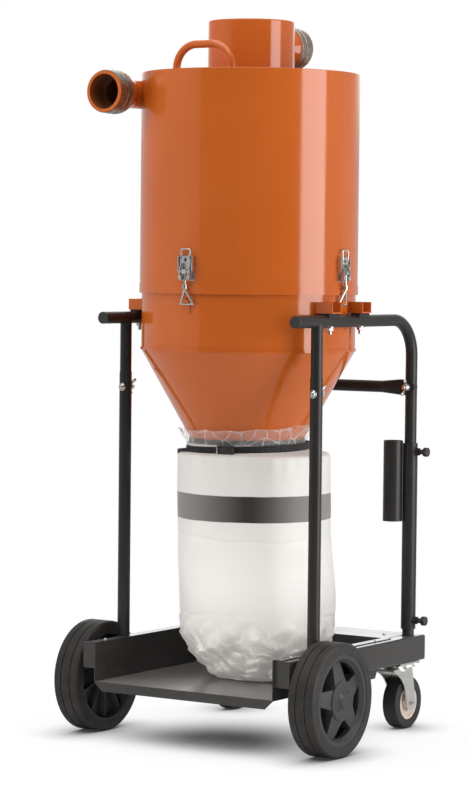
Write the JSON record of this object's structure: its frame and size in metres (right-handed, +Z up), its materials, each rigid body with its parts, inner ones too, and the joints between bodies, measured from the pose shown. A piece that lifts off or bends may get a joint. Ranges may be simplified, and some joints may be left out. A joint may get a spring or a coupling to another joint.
{
  "type": "mobile cyclone pre-separator",
  "caption": "Wheeled cyclone pre-separator: painted steel drum and cone over a strapped film bag, on a tube frame with a tray, big wheels, swivel casters and toggle latches.",
  "frame": {"origin": "on the floor under the middle of the object's box", "axes": "+Z up, +X along the wheel axle, -Y towards the open front of the tray and the hose inlet"},
  "size_m": [0.727, 0.6664, 1.667],
  "materials": {
    "orange_paint": "gloss",
    "black_powder_coat": "satin",
    "zinc_plate": "satin",
    "worn_steel": "satin",
    "tyre_rubber": "matte",
    "black_rubber": "matte",
    "black_plastic": "matte",
    "caster_rim_plastic": "satin",
    "clear_film": "satin",
    "black_webbing": "matte"
  },
  "bodies": {
    "cart": {"upper_drum": "orange_paint", "top_plate": "orange_paint", "outlet_tower": "orange_paint", "tower_cap": "orange_paint", "inlet_pipe": "orange_paint", "outlet_pipe": "orange_paint", "lid_handle": "orange_paint", "lower_drum": "orange_paint", "cone": "orange_paint", "drum_brackets": "orange_paint", "latch_catches": "orange_paint", "left_hoop": "black_powder_coat", "right_hoop": "black_powder_coat", "left_front_post": "black_powder_coat", "right_front_post": "black_powder_coat", "left_rear_leg": "black_powder_coat", "right_rear_leg": "black_powder_coat", "left_rear_sleeve": "black_powder_coat", "right_rear_sleeve": "black_powder_coat", "base_stubs": "black_powder_coat", "tool_holder": "black_powder_coat", "rear_cross_bar": "black_powder_coat", "left_beam": "black_powder_coat", "right_beam": "black_powder_coat", "rear_cross_member": "black_powder_coat", "tray": "black_powder_coat", "axle_brackets": "black_powder_coat", "discharge_collar": "black_powder_coat", "latch_bases": "zinc_plate", "stub_axles": "zinc_plate", "caster_plates": "zinc_plate", "hose_bands": "worn_steel", "bracket_pads": "black_rubber", "tube_end_caps": "black_plastic", "collection_bag": "clear_film", "bag_strap": "black_webbing", "strap_buckle": "black_plastic"},
    "left_wheel": {"left_wheel_tyre": "tyre_rubber", "left_wheel_hub": "black_plastic"},
    "left_caster": {"left_caster_fork": "zinc_plate"},
    "left_caster_wheel": {"left_caster_tyre": "tyre_rubber", "left_caster_rim": "caster_rim_plastic"},
    "left_lower_knob": {"left_lower_knob": "black_plastic"},
    "left_upper_knob": {"left_upper_knob": "black_plastic"},
    "right_wheel": {"right_wheel_tyre": "tyre_rubber", "right_wheel_hub": "black_plastic"},
    "right_caster": {"right_caster_fork": "zinc_plate"},
    "right_caster_wheel": {"right_caster_tyre": "tyre_rubber", "right_caster_rim": "caster_rim_plastic"},
    "right_lower_knob": {"right_lower_knob": "black_plastic"},
    "right_upper_knob": {"right_upper_knob": "black_plastic"},
    "front_latch_lever": {"front_latch_lever": "zinc_plate"},
    "front_latch_hook": {"front_latch_hook": "zinc_plate"},
    "right_latch_lever": {"right_latch_lever": "zinc_plate"},
    "right_latch_hook": {"right_latch_hook": "zinc_plate"},
    "back_latch_lever": {"back_latch_lever": "zinc_plate"},
    "back_latch_hook": {"back_latch_hook": "zinc_plate"},
    "left_latch_lever": {"left_latch_lever": "zinc_plate"},
    "left_latch_hook": {"left_latch_hook": "zinc_plate"}
  },
  "joints": [
    {"name": "left_wheel_spin", "type": "hinge", "parent": "cart", "child": "left_wheel", "pos_m": [-0.32325, -0.18925, 0.13], "axis": [1, 0, 0], "continuous": true},
    {"name": "left_caster_swivel", "type": "hinge", "parent": "cart", "child": "left_caster", "pos_m": [-0.243, 0.23575, 0.14], "axis": [0, 0, 1], "continuous": true},
    {"name": "left_caster_spin", "type": "hinge", "parent": "left_caster", "child": "left_caster_wheel", "pos_m": [-0.243, 0.27075, 0.0625], "axis": [1, 0, 0], "continuous": true},
    {"name": "left_lower_knob_turn", "type": "hinge", "parent": "cart", "child": "left_lower_knob", "pos_m": [-0.29, 0.25875, 0.262], "axis": [-1, 0, 0], "continuous": true},
    {"name": "left_upper_knob_turn", "type": "hinge", "parent": "cart", "child": "left_upper_knob", "pos_m": [-0.29, 0.25875, 0.664], "axis": [-1, 0, 0], "continuous": true},
    {"name": "right_wheel_spin", "type": "hinge", "parent": "cart", "child": "right_wheel", "pos_m": [0.32325, -0.18925, 0.13], "axis": [1, 0, 0], "continuous": true},
    {"name": "right_caster_swivel", "type": "hinge", "parent": "cart", "child": "right_caster", "pos_m": [0.243, 0.23575, 0.14], "axis": [0, 0, 1], "continuous": true},
    {"name": "right_caster_spin", "type": "hinge", "parent": "right_caster", "child": "right_caster_wheel", "pos_m": [0.243, 0.27075, 0.0625], "axis": [1, 0, 0], "continuous": true},
    {"name": "right_lower_knob_turn", "type": "hinge", "parent": "cart", "child": "right_lower_knob", "pos_m": [0.29, 0.25875, 0.262], "axis": [1, 0, 0], "continuous": true},
    {"name": "right_upper_knob_turn", "type": "hinge", "parent": "cart", "child": "right_upper_knob", "pos_m": [0.29, 0.25875, 0.664], "axis": [1, 0, 0], "continuous": true},
    {"name": "front_latch_open", "type": "hinge", "parent": "cart", "child": "front_latch_lever", "pos_m": [0, -0.31125, 1.0735], "axis": [1, 0, 0], "range_deg": [0, 110]},
    {"name": "front_hook_swing", "type": "hinge", "parent": "front_latch_lever", "child": "front_latch_hook", "pos_m": [0, -0.31125, 1.086], "axis": [1, 0, 0], "range_deg": [-110, 0]},
    {"name": "right_latch_open", "type": "hinge", "parent": "cart", "child": "right_latch_lever", "pos_m": [0.264, -0.04725, 1.0735], "axis": [0, 1, 0], "range_deg": [0, 110]},
    {"name": "right_hook_swing", "type": "hinge", "parent": "right_latch_lever", "child": "right_latch_hook", "pos_m": [0.264, -0.04725, 1.086], "axis": [0, 1, 0], "range_deg": [-110, 0]},
    {"name": "back_latch_open", "type": "hinge", "parent": "cart", "child": "back_latch_lever", "pos_m": [0, 0.21675, 1.0735], "axis": [-1, 0, 0], "range_deg": [0, 110]},
    {"name": "back_hook_swing", "type": "hinge", "parent": "back_latch_lever", "child": "back_latch_hook", "pos_m": [0, 0.21675, 1.086], "axis": [-1, 0, 0], "range_deg": [-110, 0]},
    {"name": "left_latch_open", "type": "hinge", "parent": "cart", "child": "left_latch_lever", "pos_m": [-0.264, -0.04725, 1.0735], "axis": [0, -1, 0], "range_deg": [0, 110]},
    {"name": "left_hook_swing", "type": "hinge", "parent": "left_latch_lever", "child": "left_latch_hook", "pos_m": [-0.264, -0.04725, 1.086], "axis": [0, -1, 0], "range_deg": [-110, 0]}
  ],
  "couplings": [
    {"joint": "front_hook_swing", "follows": "front_latch_open", "ratio": -1},
    {"joint": "right_hook_swing", "follows": "right_latch_open", "ratio": -1},
    {"joint": "back_hook_swing", "follows": "back_latch_open", "ratio": -1},
    {"joint": "left_hook_swing", "follows": "left_latch_open", "ratio": -1}
  ]
}
